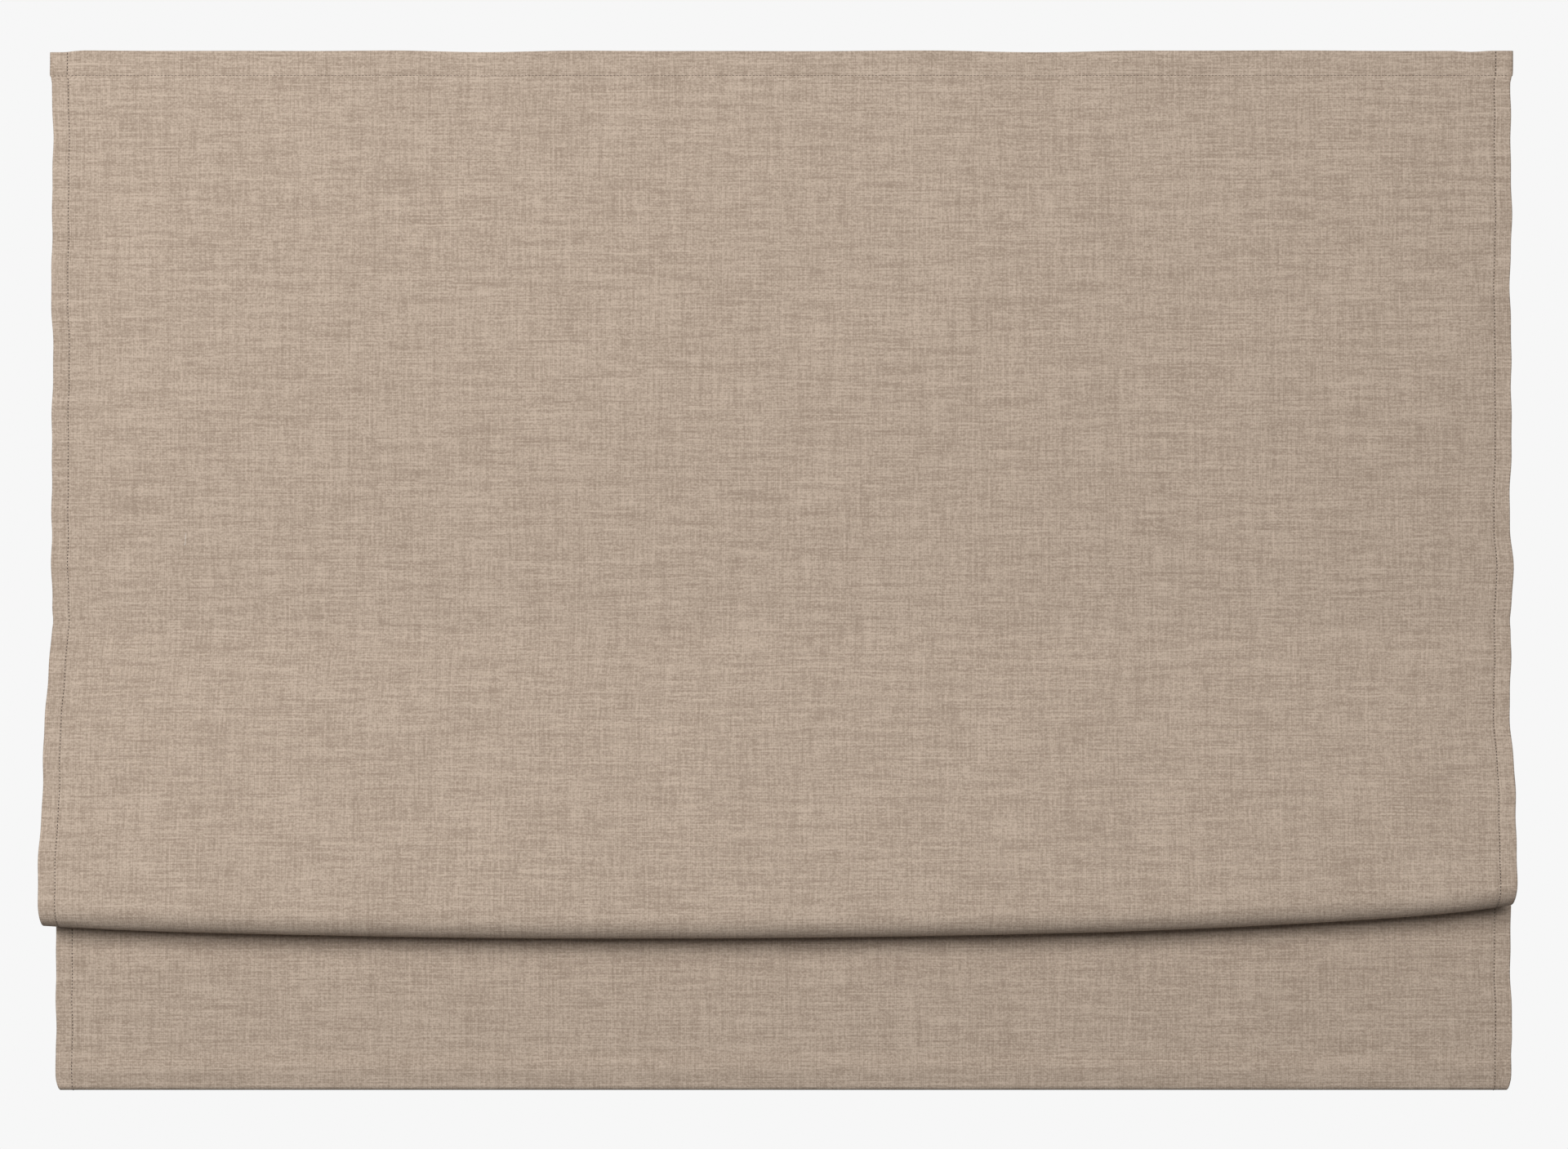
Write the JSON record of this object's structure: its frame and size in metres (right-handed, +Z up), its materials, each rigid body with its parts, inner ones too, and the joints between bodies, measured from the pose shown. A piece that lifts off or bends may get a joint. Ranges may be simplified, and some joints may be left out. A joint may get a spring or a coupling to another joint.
{
  "type": "roman blind",
  "caption": "Roman blind in slubby linen-look cloth on a spring-lift headrail, part raised so its lowest fold hangs open over the weighted bottom panel.",
  "frame": {"origin": "middle of the two brackets' four fixing holes, on their top face (the surface that the blind is screwed to)", "axes": "+X along the width to the viewer's right, -Y towards the room (the cloth's face), +Z up"},
  "size_m": [1.2, 0.0821, 0.8572],
  "materials": {
    "slub_linen": "matte",
    "rail_enamel": "satin",
    "white_plastic": "satin",
    "clear_plastic": "gloss",
    "hook_nylon": "matte",
    "white_tape": "matte",
    "zinc_steel": "satin",
    "bright_steel": "satin",
    "white_cord": "matte",
    "glass_fibre": "satin",
    "bar_aluminium": "satin"
  },
  "bodies": {
    "rail": {"headrail": "rail_enamel", "end_cap_left": "white_plastic", "end_cap_right": "white_plastic", "hook_tape": "hook_nylon", "loop_tape": "white_tape", "bracket_left": "zinc_steel", "bracket_right": "zinc_steel", "bracket_rivets": "zinc_steel", "cradle_left": "white_plastic", "cradle_middle": "white_plastic", "cradle_right": "white_plastic", "spring_housing": "white_plastic", "spring_anchor": "white_plastic", "torsion_spring": "bright_steel", "fabric_panel": "slub_linen", "lift_cord_left": "white_cord", "lift_cord_middle": "white_cord", "lift_cord_right": "white_cord"},
    "latch_left_body": {"latch_left": "zinc_steel"},
    "latch_right_body": {"latch_right": "zinc_steel"},
    "shaft": {"lift_shaft": "bright_steel", "spool_left": "white_plastic", "spool_middle": "white_plastic", "spool_right": "white_plastic", "spring_driver": "white_plastic"},
    "upper_rod": {"rod_upper": "glass_fibre", "rod_tape_upper": "white_tape", "rod_tips_upper": "white_plastic", "cord_rings_upper": "clear_plastic"},
    "lower_rod": {"rod_lower": "glass_fibre", "rod_tape_lower": "white_tape", "rod_tips_lower": "white_plastic", "cord_rings_lower": "clear_plastic", "cord_adjuster_left": "clear_plastic", "cord_adjuster_middle": "clear_plastic", "cord_adjuster_right": "clear_plastic", "bottom_bar": "bar_aluminium", "bottom_bar_cap_left": "white_plastic", "bottom_bar_cap_right": "white_plastic"}
  },
  "joints": [
    {"name": "latch_left_turn", "type": "hinge", "parent": "rail", "child": "latch_left_body", "pos_m": [-0.377, 0.003, -0.004], "axis": [0, 0, 1], "range_deg": [0, 90]},
    {"name": "latch_right_turn", "type": "hinge", "parent": "rail", "child": "latch_right_body", "pos_m": [0.423, 0.003, -0.004], "axis": [0, 0, 1], "range_deg": [0, 90]},
    {"name": "upper_rod_lift", "type": "slide", "parent": "rail", "child": "upper_rod", "axis": [0, 0, 1], "range_m": [0, 0.4285], "deforming": ["fabric_panel", "lift_cord_left", "lift_cord_middle", "lift_cord_right"]},
    {"name": "lower_rod_lift", "type": "slide", "parent": "upper_rod", "child": "lower_rod", "axis": [0, 0, 1], "range_m": [-0.1707, 0.1733], "deforming": ["fabric_panel", "lift_cord_left", "lift_cord_middle", "lift_cord_right"]},
    {"name": "shaft_turn", "type": "hinge", "parent": "rail", "child": "shaft", "pos_m": [0, 0.00038, -0.0175], "axis": [-1, 0, 0], "range_deg": [-1282.7, 1302.3], "deforming": ["torsion_spring"]}
  ],
  "couplings": [
    {"joint": "shaft_turn", "follows": "lower_rod_lift", "rad_per_m": 131.15}
  ]
}
